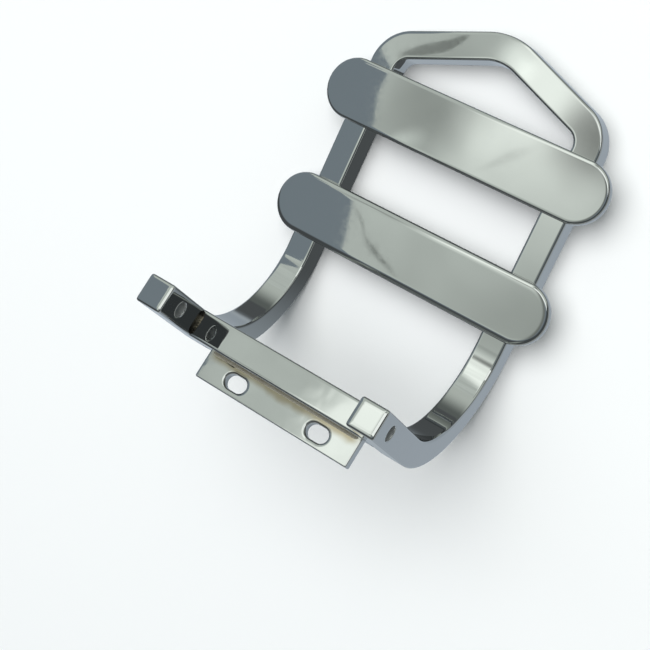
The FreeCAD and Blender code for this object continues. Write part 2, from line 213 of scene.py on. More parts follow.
def quarter_turn(soft, steps):
    """A quarter turn with a reach of 1: its points from the corner's middle, and its directions.

    A hand polished corner starts to turn slowly, so the direction's angle grows partly with the
    length and partly by a smooth step in the middle of it, and the points are the integral of
    that direction. A true quarter circle is its own direction.
    """
    if not soft:
        angle = np.linspace(0.0, math.pi / 2, steps + 1)
        ways = np.stack([np.cos(angle), np.sin(angle)], axis=1)
        return ways, ways
    t = np.linspace(0.0, 1.0, steps * FINE_STEPS + 1)
    core = np.clip((t - SLOW_REACH) / (1 - 2 * SLOW_REACH), 0.0, 1.0)
    smooth = core ** 2 * (3 - 2 * core)
    angle = math.pi / 2 * (EVEN_SHARE * t + (1 - EVEN_SHARE) * smooth)
    ways = np.stack([np.cos(angle), np.sin(angle)], axis=1)
    pace = (ways[1:] + ways[:-1]) / 2
    run = np.concatenate([[[0.0, 0.0]], np.cumsum(pace, axis=0)]) / pace.sum(axis=0)
    points = np.stack([1 - run[:, 1], run[:, 0]], axis=1)
    return points[::FINE_STEPS], ways[::FINE_STEPS]


def outline_of(half_width, half_height, reach, soft=True, steps=10):
    """A rectangle with turned corners, counter-clockwise: its points and its outward directions.

    Each corner is the same quarter turn, brought round by right angles and moved to its place.
    """
    points, ways = quarter_turn(soft, steps)
    outline, out = [], []
    for quarter, signs in enumerate(((1, 1), (-1, 1), (-1, -1), (1, -1))):
        turn = np.array([[0, 1], [-1, 0]]) if quarter % 2 else np.eye(2)
        turn = turn * (-1 if quarter > 1 else 1)
        middle = np.multiply(signs, (half_width - reach, half_height - reach))
        outline.append(middle + reach * points @ turn)
        out.append(ways @ turn)
    outline, out = np.concatenate(outline), np.concatenate(out)
    apart = np.linalg.norm(outline - np.roll(outline, 1, axis=0), axis=1) > POINT_GAP
    return outline[apart], out[apart]


def carry(skin, outline, line, ends, hole=False, domed=False):
    """Carries an outline along a line through the stations that rounded_ends gives.

    At each station the outline draws in by its inset, square to itself, and its normals lean
    towards the nearer end. A domed end draws in towards its middle instead, by the inset times
    r times half of 1 plus r squared, where r is the distance from the middle and is 1 midway
    along a side, so its corners draw in by more, and its normals lean by as much. A hole's
    outline opens by the inset, and its normals face into the hole.
    """
    _, inset, sideways, endways = (part[:, None, None] for part in ends)
    points, ways = outline
    pull = ways
    if domed:
        from_middle = points / np.abs(points).max()
        pull = from_middle * (1 + (from_middle ** 2).sum(axis=1)[:, None]) / 2
    centre, side, up, tangent = (part[:, None, :] for part in line)
    way = -1 if hole else 1
    flat = points - way * inset * pull
    level = ways[:, :1] * side + ways[:, 1:] * up
    placed = centre + flat[..., :1] * side + flat[..., 1:] * up
    lean = (pull * ways).sum(axis=1)[:, None]
    normals = way * sideways * level + endways * lean * tangent
    return skin.add(placed, normals / np.linalg.norm(normals, axis=2)[..., None])


def rounded_ends(total, reach, shoulder, between=(), steps=8):
    """Stations of a piece with rounded ends: distances, insets and the two parts of the normals.

    An end's rounding is a soft quarter turn, drawn out to reach along the piece and to shoulder
    over the end's face. The stations between the ends are plain.
    """
    points, ways = quarter_turn(True, steps)
    depth, inset = (1 - points.T) * [[reach], [shoulder]]
    lean = ways / [reach, shoulder]
    lean /= np.linalg.norm(lean, axis=1)[:, None]
    start = np.stack([depth, inset, lean[:, 1], -lean[:, 0]])
    end = start[:, ::-1] * [[-1], [1], [1], [-1]] + [[total], [0], [0], [0]]
    nearest = reach + STATION_GAP
    between = np.array([d for d in between if nearest < d < total - nearest])
    plain = np.stack([between, 0 * between, 0 * between + 1, 0 * between])
    return np.concatenate([start, plain, end], axis=1)


def straight(start, tangent, side, distance):
    """A straight line's middles, sides, ups and tangents at the given distances from its start."""
    tangent, side = np.array(tangent), np.array(side)
    up = np.cross(tangent, side)
    shape = (len(distance), 3)
    centre = np.array(start) + distance[:, None] * tangent
    return centre, *(np.broadcast_to(vector, shape) for vector in (side, up, tangent))


# The bar's middle line, from the left ear's end round the loop to the right ear's end

def bar_parts():
    """Each part's length, its bend per metre and the way that it bends, along the whole line.

    From an ear's end the line goes down the ear, round the front bend, along the rail, round the
    shoulder and along the raked side to the peak, and then back in the same way. Each arc takes
    up its radius times the sine of its turn one way and times one less the cosine the other,
    and the raked side and the rail have what is left between the rail, the loop and the bend.
    """
    s = sizes()
    centre_y, _ = bend_centre()
    reach = s.peak_radius * math.sin(s.loop_slope)
    fall = math.pi / 2 - s.loop_slope
    shoulder_x = RAIL_X - s.shoulder_radius * (1 - math.cos(fall))
    raked = (shoulder_x - reach) / math.cos(s.loop_slope)
    peak_y = BAR_BOX[1].y - HALF_BAR - s.peak_radius * (1 - math.cos(s.loop_slope))
    shoulder_y = peak_y - raked * math.sin(s.loop_slope) - s.shoulder_radius * math.sin(fall)
    half = [
        (s.ear_straight, 0.0, "up"),
        (s.bend_radius * (math.pi / 2 + EAR_LEAN), 1 / s.bend_radius, "up"),
        (shoulder_y - centre_y, 0.0, "in"),
        (s.shoulder_radius * fall, 1 / s.shoulder_radius, "in"),
        (raked, 0.0, "in"),
    ]
    peak = (2 * s.peak_radius * s.loop_slope, 1 / s.peak_radius, "in")
    return [*half, peak, *half[::-1]]


def bend_centre():
    """Y and Z of the front bend's middle, which is a bend radius behind the ear's middle line."""
    radius = sizes().bend_radius
    z = HALF_BAR + radius
    lean_part = EAR_AXIS.y * (EAR_HOLE.z - z)
    return EAR_HOLE.y + (radius - lean_part) / EAR_AXIS.z, z


def bent(start, tangent, towards, curvature, distance):
    """A point and tangent on an arc of constant curvature, which is a straight line at none.

    The point moves by distance * sinc along the first tangent and by distance * angle / 2 * sinc
    squared of the half angle towards the arc's middle, and the tangent turns by the angle.
    """
    angle = curvature * distance
    along = distance * np.sinc(angle / math.pi)
    across = distance * angle / 2 * np.sinc(angle / (2 * math.pi)) ** 2
    turned = np.cos(angle) * tangent + np.sin(angle) * towards
    return start + along * tangent + across * towards, turned


def middle_line(distance):
    """The bar's middles, sides, ups and tangents at the given distances from the left ear's end.

    Each part of the line starts where the one before it ends. A station goes from the start of
    the part that holds it, along that part's arc, by its distance from there. The tangent and
    either the side or the up, whichever the bend is round, give the third direction.
    """
    parts = bar_parts()
    lengths = np.array([part[0] for part in parts])
    starts = np.concatenate([[0.0], np.cumsum(lengths)[:-1]])
    left_hole = Vector((-EAR_HOLE.x, EAR_HOLE.y, EAR_HOLE.z))
    place = np.array(left_hole + sizes().ear_hole_drop * EAR_AXIS)
    tangent, up = -np.array(EAR_AXIS), -np.array(FORWARD)
    knots = []
    for length, curvature, way in parts:
        side = np.cross(up, tangent)
        towards = up if way == "up" else -side
        knots.append((place, side, up, tangent, towards))
        place, turned = bent(place, tangent, towards, curvature, length)
        if way == "up":
            up = np.cross(turned, side)
        tangent = turned
    part = np.clip(np.searchsorted(starts, distance, side="right") - 1, 0, len(parts) - 1)
    place, side, up, tangent, towards = (np.array(knot)[part] for knot in zip(*knots))
    curvature = np.array([p[1] for p in parts])[part][:, None]
    along = (distance - starts[part])[:, None]
    centre, turned = bent(place, tangent, towards, curvature, along)
    bends_up = np.array([p[2] == "up" for p in parts])[part][:, None]
    side = np.where(bends_up, side, np.cross(up, turned))
    return centre, side, np.cross(turned, side), turned


def bar_stations(step=math.radians(1.5)):
    """Stations along the bar: its ends, its bends in small steps, and a pair round each ear hole.

    With them come the distances of the left ear's pair and of the right ear's end.
    """
    s = sizes()
    parts = bar_parts()
    marks = np.cumsum([0.0] + [part[0] for part in parts])
    bends = [
        np.linspace(marks[i], marks[i + 1], math.ceil(length * curvature / step) + 1)
        for i, (length, curvature, _) in enumerate(parts) if curvature
    ]
    hole = s.ear_hole_drop + np.array([-1, 1]) * (HALF_BAR - s.bar_rounding)
    between = np.unique(np.concatenate([hole, marks[-1] - hole, *bends]).round(9))
    return rounded_ends(marks[-1], s.end_rounding, s.end_dome, between), hole, marks[-1]


class RACK_OT_frame_bar(bpy.types.Operator):
    """The bent square bar with its rounded corners, cut ends and drilled ears"""

    bl_idname = "rack.frame_bar"
    bl_label = "Frame Bar"

    def execute(self, context):
        # The bar's outline carried along its middle line, with a flat left open round each hole
        s = sizes()
        skin = Skin()
        outline = outline_of(HALF_BAR, HALF_BAR, s.bar_rounding)
        ends, hole, total = bar_stations()
        distance = ends[0]
        ring = carry(skin, outline, middle_line(distance), ends, domed=True)
        # Each corner is a quarter of a ring's columns, and the flats lie between them: the outer
        # one after the last corner, and the inner one after the second
        outer, inner = ring.shape[1] - 1, ring.shape[1] // 2 - 1
        keep = np.ones((len(ring) - 1, ring.shape[1]), bool)
        rows = [np.searchsorted(distance, mark - POINT_GAP) for mark in (hole[0], total - hole[1])]
        for row in rows:
            keep[row, [outer, inner]] = False
        skin.quads(ring, keep)
        _, _, _, tangent = middle_line(distance[[0, -1]])
        skin.flat(ring[0], [], -tangent[0])
        skin.flat(ring[-1], [], tangent[-1])
        for row, way in zip(rows, (-1, 1)):
            self.drill(skin, ring, row, way, (outer, inner))
        bar = skin.piece("frame_bar_plated", chrome_plate())
        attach(bar, "root")
        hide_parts("frame_bar")
        return {"FINISHED"}

    def drill(self, skin, ring, row, way, columns):
        """The hole through one ear.

        A circle is carried from the outer face to the inner one, and the open flat at either
        face is filled round the circle.
        """
        s = sizes()
        outward = Vector((way, 0.0, 0.0))
        outer_face = Vector((way * (RAIL_X + HALF_BAR), EAR_HOLE.y, EAR_HOLE.z))
        circle = outline_of(EAR_HOLE_RADIUS, EAR_HOLE_RADIUS, EAR_HOLE_RADIUS, soft=False, steps=12)
        ends = rounded_ends(BAR_SIDE, s.hole_flare, s.hole_flare)
        line = straight(outer_face, -outward, FORWARD, ends[0])
        wall = carry(skin, circle, line, ends, hole=True)
        skin.quads(wall, flip=True)
        for column, mouth, facing in zip(columns, (wall[0], wall[-1]), (outward, -outward)):
            following = (column + 1) % ring.shape[1]
            face = [ring[row, column], ring[row, following],
                    ring[row + 1, following], ring[row + 1, column]]
            skin.flat(np.array(face), [mouth], facing)


class RACK_OT_slats(bpy.types.Operator):
    """The two deck slats, flat bars with round ends and softly rounded edges"""

    bl_idname = "rack.slats"
    bl_label = "Slats"

    def execute(self, context):
        # An outline with round ends, carried up from the slat's underside to its top
        s = sizes()
        for name, edge in (("front_slat", s.front_slat_edge), ("rear_slat", s.rear_slat_edge)):
            low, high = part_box(name)
            half = (high - low) / 2
            middle = (low + high) / 2
            outline = outline_of(half.x, half.y, half.y, soft=False, steps=32)
            ends = rounded_ends(2 * half.z, s.slat_rounding, edge, steps=12)
            foot = Vector((middle.x, middle.y, low.z))
            skin = Skin()
            rings = carry(skin, outline, straight(foot, UPRIGHT, SIDEWAYS, ends[0]), ends)
            skin.quads(rings)
            skin.flat(rings[0], [], -UPRIGHT)
            skin.flat(rings[-1], [], UPRIGHT)
            slat = skin.piece(f"{name}_plated", chrome_plate())
            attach(slat, "root")
            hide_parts(name)
        return {"FINISHED"}


def plate_middle():
    """The bolt plate's middle: halfway through it, and half its depth behind its front edge."""
    s = sizes()
    slot_line = Vector(MOUNTS["right_plate_slot"]["pos_m"])
    slot_line.x = 0.0
    return slot_line + (s.slot_inset - s.plate_depth / 2) * FORWARD


class RACK_OT_bolt_plate(bpy.types.Operator):
    """The slotted bolt plate"""

    bl_idname = "rack.bolt_plate"
    bl_label = "Bolt Plate"

    def execute(self, context):
        # The plate's outline carried through its thickness, and each slot's carried as a hole
        s = sizes()
        skin = Skin()
        low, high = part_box("bolt_plate")
        half_length = (high.x - low.x) / 2
        outline = outline_of(half_length, s.plate_depth / 2, s.plate_corner, soft=False, steps=6)
        ends = rounded_ends(s.plate_thickness, s.plate_rounding, s.plate_rounding)
        foot = plate_middle() - s.plate_thickness / 2 * EAR_AXIS
        rings = carry(skin, outline, straight(foot, EAR_AXIS, SIDEWAYS, ends[0]), ends)
        skin.quads(rings)
        slot = outline_of(SLOT_HALF_LENGTH, SLOT_HALF_WIDTH, SLOT_HALF_WIDTH, soft=False)
        flared = rounded_ends(s.plate_thickness, s.slot_flare, s.slot_flare)
        walls = []
        for name in ("left_plate_slot", "right_plate_slot"):
            mouth = Vector(MOUNTS[name]["pos_m"]) - s.plate_thickness / 2 * EAR_AXIS
            line = straight(mouth, EAR_AXIS, SIDEWAYS, flared[0])
            wall = carry(skin, slot, line, flared, hole=True)
            skin.quads(wall, flip=True)
            walls.append(wall)
        skin.flat(rings[0], [wall[0] for wall in walls], -EAR_AXIS)
        skin.flat(rings[-1], [wall[-1] for wall in walls], EAR_AXIS)
        plate = skin.piece("bolt_plate_plated", chrome_plate())
        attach(plate, "root")
        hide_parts("bolt_plate")
        return {"FINISHED"}


def cross_bar_middle():
    """The cross bar's middle, on the ears' middle line and on top of the bolt plate."""
    s = sizes()
    plate_back = plate_middle() - s.plate_depth / 2 * FORWARD
    return plate_back + HALF_BAR * FORWARD + (s.plate_thickness / 2 + HALF_BAR) * EAR_AXIS


class RACK_OT_cross_bar(bpy.types.Operator):
    """The square bar between the ears"""

    bl_idname = "rack.cross_bar"
    bl_label = "Cross Bar"

    def execute(self, context):
        # The bar's outline carried from ear to ear
        s = sizes()
        skin = Skin()
        low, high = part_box("cross_bar")
        outline = outline_of(HALF_BAR, HALF_BAR, s.bar_rounding)
        # Plain ends with no inset, because both butt against the ears
        ends = np.array([[0.0, high.x - low.x], [0.0, 0.0], [1.0, 1.0], [0.0, 0.0]])
        start = cross_bar_middle() + Vector((low.x, 0.0, 0.0))
        rings = carry(skin, outline, straight(start, SIDEWAYS, EAR_AXIS, ends[0]), ends)
        skin.quads(rings)
        for ring, facing in ((rings[0], -SIDEWAYS), (rings[-1], SIDEWAYS)):
            skin.flat(ring, [], facing)
        bar = skin.piece("cross_bar_plated", chrome_plate())
        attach(bar, "root")
        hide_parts("cross_bar")
        return {"FINISHED"}


# Finishes

# Widths of their patterns. Polishing marks and the pits of a bead are too fine to show, so those
# two patterns are drawn as coarse as patches of them.
FLAT_WAVE = 28 * MM
BEND_DENT = 10 * MM
POLISH_PATCH = 2.5 * MM
HEAT_PATCH = 9 * MM
BEAD_PITS = 1.2 * MM
BEAD_PATCH = 6 * MM

# Heights of the waves on the flats and of the dents in the front bends, and the Y at which the
# dents start and are at their full height
WAVE_HEIGHT = 0.10 * MM
DENT_HEIGHT = 0.04 * MM
DENTS_START, DENTS_FULL = -55 * MM, -70 * MM

# The heat tint along the seam: how far its edge wanders, the distances from the seam, less that,
# at which it starts and is full, and how far it fades at the seam's ends
TINT_WANDER = 3.5 * MM
TINT_START, TINT_FULL = 3.2 * MM, -0.5 * MM
TINT_FADE = 3 * MM

# How far round an ear hole its dull inside begins, and that inside's haze and share of metal
HOLE_RIM = 0.1 * MM
HOLE_HAZE = 0.4
HOLE_METAL = 0.6


def add_node(tree, kind, inputs=None, **settings):
    """Adds a node, sets its properties and sets or links its inputs, by name or by number."""
    node = tree.nodes.new(kind)
    for name, setting in settings.items():
        setattr(node, name, setting)
    for name, given in (inputs or {}).items():
        if isinstance(given, bpy.types.NodeSocket):
            tree.links.new(given, node.inputs[name])
        else:
            node.inputs[name].default_value = given
    return node


def product_of_steps(tree, steps):
    """The product of smooth steps, each from 0 at a value's first mark to 1 at its second."""
    product = 1.0
    for value, start, full in steps:
        step = add_node(tree, "ShaderNodeMapRange", {
            "Value": value, "From Min": start, "From Max": full,
        }, interpolation_type="SMOOTHSTEP")
        product = add_node(tree, "ShaderNodeMath", {
            0: product, 1: step.outputs["Result"],
        }, operation="MULTIPLY").outputs["Value"]
    return product


def from_line(tree, place, y, z):
    """The distance of each point from the sideways line at the given Y and Z."""
    flat = add_node(tree, "ShaderNodeVectorMath", {
        0: place, 1: (0.0, 1.0, 1.0),
    }, operation="MULTIPLY").outputs["Vector"]
    return add_node(tree, "ShaderNodeVectorMath", {
        0: flat, 1: (0.0, y, z),
    }, operation="DISTANCE").outputs["Value"]


def new_material(name):
    """An empty material and its node tree."""
    material = bpy.data.materials.new(name)
    material.use_nodes = True
    material.node_tree.nodes.clear()
    return material, material.node_tree


def hand_polish(tree, place, axes):
    """What polishing by hand leaves: a wavy normal, with dents in the front bends, and a haze."""
    waves = add_node(tree, "ShaderNodeTexNoise", {
        "Vector": place, "Scale": 1 / FLAT_WAVE, "Detail": 1.0, "Roughness": 0.35,
    })
    dents = add_node(tree, "ShaderNodeTexNoise", {
        "Vector": place, "Scale": 1 / BEND_DENT, "Detail": 1.0, "Roughness": 0.4, "Distortion": 0.5,
    })
    worked = add_node(tree, "ShaderNodeMapRange", {
        "Value": axes.outputs["Y"], "From Min": DENTS_START, "From Max": DENTS_FULL,
        "To Min": 0.0, "To Max": DENT_HEIGHT,
    }, interpolation_type="SMOOTHSTEP")
    deep = add_node(tree, "ShaderNodeMath", {
        0: dents.outputs["Fac"], 1: worked.outputs["Result"],
    }, operation="MULTIPLY")
    height = add_node(tree, "ShaderNodeMath", {
        0: waves.outputs["Fac"], 1: WAVE_HEIGHT, 2: deep.outputs["Value"],
    }, operation="MULTIPLY_ADD")
    wavy = add_node(tree, "ShaderNodeBump", {
        "Height": height.outputs["Value"], "Strength": 1.0, "Distance": 1.0,
    })
    marks = add_node(tree, "ShaderNodeTexNoise", {
        "Vector": place, "Scale": 1 / POLISH_PATCH, "Detail": 3.0,
    })
    haze = add_node(tree, "ShaderNodeMapRange", {
        "Value": marks.outputs["Fac"], "From Min": 0.35, "From Max": 0.7,
        "To Min": 0.02, "To Max": 0.05,
    })
    return wavy.outputs["Normal"], haze.outputs["Result"]


def heat_tint(tree, place, axes):
    """How far the seam's heat tinted the plating: most at the seam, and with an uneven edge."""
    _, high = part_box("bolt_plate_weld")
    seam = cross_bar_middle() - HALF_BAR * EAR_AXIS + HALF_BAR * FORWARD
    patchy = add_node(tree, "ShaderNodeTexNoise", {
        "Vector": place, "Scale": 1 / HEAT_PATCH, "Detail": 2.0,
    })
    uneven = add_node(tree, "ShaderNodeMath", {
        0: patchy.outputs["Fac"], 1: -TINT_WANDER, 2: from_line(tree, place, seam.y, seam.z),
    }, operation="MULTIPLY_ADD")
    from_middle = add_node(tree, "ShaderNodeMath", {0: axes.outputs["X"]}, operation="ABSOLUTE")
    return product_of_steps(tree, (
        (uneven.outputs["Value"], TINT_START, TINT_FULL),
        (from_middle.outputs["Value"], high.x + TINT_FADE, high.x - TINT_FADE),
    ))


def chrome_plate():
    """Bright chrome plate over hand polished steel bar.

    The eye gets a near mirror. Polishing by hand leaves the flats gently wavy, so straight
    reflections bend a little, and fine polishing marks leave a faint, uneven haze. Beside the
    seam on the bolt plate, heat tinted the metal straw yellow. Plating hardly reaches into the
    ear holes, so they are a dull grey inside.
    """
    name = "bright chrome plate on polished steel"
    if name in bpy.data.materials:
        return bpy.data.materials[name]
    material, tree = new_material(name)
    place = add_node(tree, "ShaderNodeTexCoord").outputs["Object"]
    axes = add_node(tree, "ShaderNodeSeparateXYZ", {"Vector": place})
    normal, haze = hand_polish(tree, place, axes)
    colour = add_node(tree, "ShaderNodeMix", {
        "Factor": heat_tint(tree, place, axes),
        "A": (*finish().chrome, 1.0), "B": (*finish().straw, 1.0),
    }, data_type="RGBA")
    in_hole = {
        "Value": from_line(tree, place, EAR_HOLE.y, EAR_HOLE.z),
        "From Min": EAR_HOLE_RADIUS + HOLE_RIM, "From Max": EAR_HOLE_RADIUS,
    }
    dull = add_node(tree, "ShaderNodeMapRange", {**in_hole, "To Min": 0.0, "To Max": HOLE_HAZE})
    plated = add_node(tree, "ShaderNodeMapRange", {**in_hole, "To Min": 1.0, "To Max": HOLE_METAL})
    roughness = add_node(tree, "ShaderNodeMath", {
        0: haze, 1: dull.outputs["Result"],
    }, operation="ADD")
    surface = add_node(tree, "ShaderNodeBsdfPrincipled", {
        "Base Color": colour.outputs["Result"], "Metallic": plated.outputs["Result"],
        "Roughness": roughness.outputs["Value"], "Normal": normal,
    })
    add_node(tree, "ShaderNodeOutputMaterial", {"Surface": surface.outputs["BSDF"]})
    return material


def weld_plate(name, pale, haze_range, plated):
    """Chrome plate over a weld bead, with its least and most haze and its share of metal.

    The eye gets a metal duller than the bar, patchy, with a straw yellow cast in spots.
    """
    if name in bpy.data.materials:
        return bpy.data.materials[name]
    material, tree = new_material(name)
    place = add_node(tree, "ShaderNodeTexCoord").outputs["Object"]
    pits = add_node(tree, "ShaderNodeTexNoise", {
        "Vector": place, "Scale": 1 / BEAD_PITS, "Detail": 3.0,
    })
    haze = add_node(tree, "ShaderNodeMapRange", {
        "Value": pits.outputs["Fac"], "From Min": 0.3, "From Max": 0.7,
        "To Min": haze_range[0], "To Max": haze_range[1],
    })
    patchy = add_node(tree, "ShaderNodeTexNoise", {
        "Vector": place, "Scale": 1 / BEAD_PATCH, "Detail": 2.0,
    })
    spots = add_node(tree, "ShaderNodeMapRange", {
        "Value": patchy.outputs["Fac"], "From Min": 0.48, "From Max": 0.80,
    })
    colour = add_node(tree, "ShaderNodeMix", {
        "Factor": spots.outputs["Result"], "A": (*pale, 1.0), "B": (*finish().straw, 1.0),
    }, data_type="RGBA")
    surface = add_node(tree, "ShaderNodeBsdfPrincipled", {
        "Base Color": colour.outputs["Result"], "Metallic": plated,
        "Roughness": haze.outputs["Result"],
    })
    add_node(tree, "ShaderNodeOutputMaterial", {"Surface": surface.outputs["BSDF"]})
    return material


# Weld beads

# A bead's rows for each ripple and its points across, the share of its size that it keeps at its
# ends, how far its ripples bow, in ripples, and how deep its hidden side goes into the corner
RIPPLE_ROWS = 10
FACE_POINTS = 10
END_SHARE = 0.3
RIPPLE_BOW = 0.45
BEAD_ROOT = 0.8 * MM


def bead_surface(name, corner, along, toe, wall, legs, length, material):
    """A weld bead in the corner between two pieces.

    Across, its face is a quarter circle hollowed into the corner, from the toe to the wall,
    drawn out to the two legs. Along, the legs shrink by a quarter circle at both ends, and the
    face rises and falls by a cosine, whose phase bows over the face so that it makes crescents.
    Behind the face, the bead is closed by a wedge that goes a little way into both pieces.
    """
    s = sizes()
    corner, along, toe, wall = (np.array(vector) for vector in (corner, along, toe, wall))
    distance = np.linspace(0.0, length, RIPPLE_ROWS * round(length / s.ripple_pitch) + 1)
    taper = np.clip(np.minimum(distance, length - distance) / (2 * legs[0]), 0.0, 1.0)
    grown = END_SHARE + (1 - END_SHARE) * np.sqrt(1 - (1 - taper) ** 2)
    share = np.linspace(0.0, 1.0, FACE_POINTS)
    angle = share * math.pi / 2
    bow = RIPPLE_BOW * np.sin(share * math.pi)
    ripple = np.cos((distance[:, None] / s.ripple_pitch - bow) * 2 * math.pi)
    raised = s.ripple_height * ripple * np.sin(share * math.pi)
    circle = np.stack([np.sin(angle), np.cos(angle)])[:, None]
    across, up = grown[:, None] * (1 - circle) * np.array(legs)[:, None, None] + circle * raised
    middle = corner + (distance - length / 2)[:, None] * along
    points = middle[:, None] + across[..., None] * toe + up[..., None] * wall
    handed = np.dot(np.cross(along, toe), wall)
    normals = handed * np.cross(np.gradient(points, axis=0), np.gradient(points, axis=1))
    normals /= np.linalg.norm(normals, axis=2)[..., None]
    skin = Skin()
    face = skin.add(points, normals)
    depth = middle - BEAD_ROOT * (toe + wall)
    hidden = [points[:, -1] - BEAD_ROOT * toe, depth, points[:, 0] - BEAD_ROOT * wall]
    hidden = np.stack(hidden, axis=1)
    back = skin.add(hidden, np.broadcast_to(-(toe + wall) / math.sqrt(2), hidden.shape))
    ring = np.concatenate([face, back], axis=1)
    skin.quads(ring, flip=handed > 0)
    skin.flat(ring[0], [], -along)
    skin.flat(ring[-1], [], along)
    bead = skin.piece(f"{name}_plated", material)
    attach(bead, "root")
    if name in frame["nodes"]:
        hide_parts(name)


class RACK_OT_welds(bpy.types.Operator):
    """The weld beads under the slats, at the cross bar's ends and along the bolt plate"""

    bl_idname = "rack.welds"
    bl_label = "Welds"

    def execute(self, context):
        s = sizes()
        legs = (s.bead_toe, s.bead_height)
        plate = weld_plate("chrome plate on weld bead", finish().weld, (0.12, 0.24), 1.0)
        burnt = weld_plate("burnt plate on weld bead", finish().burnt, (0.20, 0.40), 1.0)
        tinted = weld_plate("heat tinted plate on seam", finish().weld, (0.40, 0.60), 0.4)
        for slat in ("front_slat", "rear_slat"):
            low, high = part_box(slat)
            for side, sign in (("left", -1), ("right", 1)):
                for face, way in (("inner", -1), ("outer", 1)):
                    corner = (sign * (RAIL_X + way * HALF_BAR), (low.y + high.y) / 2, low.z)
                    bead_surface(
                        f"{slat}_{side}_{face}_weld", corner, REARWARD,
                        sign * way * SIDEWAYS, -UPRIGHT, legs, s.bead_length, plate,
                    )
        under = cross_bar_middle() - HALF_BAR * EAR_AXIS
        end_length = BAR_SIDE - s.bar_rounding
        for side, sign in (("left", -1), ("right", 1)):
            corner = under + sign * (RAIL_X - HALF_BAR) * SIDEWAYS
            bead_surface(
                f"cross_bar_{side}_weld", corner, FORWARD, -sign * SIDEWAYS, -EAR_AXIS,
                legs, end_length, plate,
            )
            bead_surface(
                f"cross_bar_{side}_top_weld", corner + BAR_SIDE * EAR_AXIS, FORWARD,
                -sign * SIDEWAYS, EAR_AXIS, (s.corner_bead, s.corner_bead), end_length, burnt,
            )
        low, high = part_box("bolt_plate")
        bead_surface(
            "bolt_plate_weld", under + HALF_BAR * FORWARD, SIDEWAYS, FORWARD, EAR_AXIS,
            (s.seam_toe, s.seam_height), high.x - low.x - 2 * s.seam_margin, tinted,
        )
        return {"FINISHED"}


# Floor, lights and camera

# The camera, fitted to the photograph's edges: its place, its turn from a view to the rear, its
# height angle over the rack, its roll, and its lens and sensor in mm
CAMERA_PLACE = Vector((0.2006, 0.0469, 0.5236))
CAMERA_AZIMUTH = math.radians(115.21)
CAMERA_ELEVATION = math.radians(64.16)
CAMERA_ROLL = math.radians(-88.2)
CAMERA_LENS = 68.2
CAMERA_SENSOR = 36.0

# Half the floor's side, and the lamp that lights it: its place, side and power in watts
FLOOR_HALF = 6.0
LAMP_PLACE = Vector((-0.2, 0.3, 1.6))
LAMP_SIDE = 1.8
LAMP_POWER = 33.0

# Outline of the card of painted shadow under the rack, a dark sheet standing for the rack's shadow,
# which only reflections see, and the Y between which it grows lighter towards the front
SHADOW_CARD_OUTLINE = ((-0.054, -0.15), (0.054, -0.15), (0.054, 0.060), (-0.054, 0.060))
SHADOW_CARD_REAR_Y, SHADOW_CARD_FRONT_Y = -0.040, -0.095

# Outline of the diffusing cloth, level over the rack: its left edge swings out to the rear
CLOTH_HEIGHT = 1.0
CLOTH_OUTLINE = (
    (-0.470, -0.23), (-0.02, -0.23), (-0.02, 1.25), (-1.05, 1.25), (-0.95, 0.86), (-0.74, 0.64),
    (-0.62, 0.44), (-0.542, 0.25), (-0.540, 0.21), (-0.556, 0.17), (-0.556, 0.105), (-0.523, 0.075),
    (-0.525, 0.045), (-0.521, 0.025), (-0.512, 0.010), (-0.491, -0.083), (-0.483, -0.12),
)

# The cloth's slow folds: how many to the metre, and how far they shift the lamp's edges
CLOTH_FOLDS = 7.0
FOLD_SHIFT = (0.06, 0.06, 0.0)

# The X between which the cloth dims towards its right edge, and its light there
DIM_EDGE = (-0.06, -0.18)
DIM_EDGE_SHADE = 0.35

# Clouds, bright patches and creases of the cloth: middle, turn in degrees, reach along and across,
# how far out its light starts to change back, and its light in the middle
CLOTH_SHADES = (
    ((-0.450, 0.066), 50.0, (0.15, 0.10), 0.1, 0.67),
    ((-0.460, 0.004), 50.0, (0.040, 0.022), 0.1, 1.45),
    ((-0.368, 0.154), -20.0, (0.045, 0.030), 0.1, 1.30),
    ((-0.225, 0.110), 0.0, (0.090, 0.090), 0.1, 0.30),
    ((-0.200, -0.140), 0.0, (0.17, 0.10), 0.1, 0.75),
    ((-0.481, 0.131), 33.7, (0.060, 0.0115), 0.8, 0.50),
    ((-0.467, -0.1125), -43.6, (0.032, 0.0042), 0.1, 0.60),
    ((-0.424, -0.1415), -27.0, (0.048, 0.0050), 0.1, 0.42),
    ((-0.320, 0.040), 44.0, (0.055, 0.010), 0.1, 0.84),
)

# Outline of the bright sheet, which hangs a little below the cloth
SHEET_OUTLINE = ((-0.15, 0.19), (0.37, 0.19), (0.37, 0.45), (-0.15, 0.45))
SHEET_DROP = 0.01

# The part of the cloth with a lamp behind it, and parts of the studio: for each of its bounds, a
# direction, and how far along it the part starts and is full
LAMP_BOUNDS = (
    ((1.0, -0.15, 0.0), -0.42, -0.33), ((1.0, 0.0, 0.0), -0.06, -0.23),
    ((0.0, 1.0, 0.0), -0.06, 0.20), ((0.0, 1.0, 0.0), 1.25, 0.75),
)
WINDOW_BOUNDS = (
    ((0.8, -0.6, 0.0), 0.10, 0.45), ((0.0, 0.0, 1.0), 0.14, 0.24), ((0.0, 0.0, 1.0), 0.60, 0.40),
)
LEFT_BOUNDS = (((-0.94, 0.34, 0.0), -0.25, 0.05), ((0.0, 0.97, 0.24), -0.04, 0.04))
REAR_BOUNDS = (((0.719, 0.695, 0.0), -0.01, 0.02), ((-0.643, 0.766, 0.0), 0.0, 0.25))

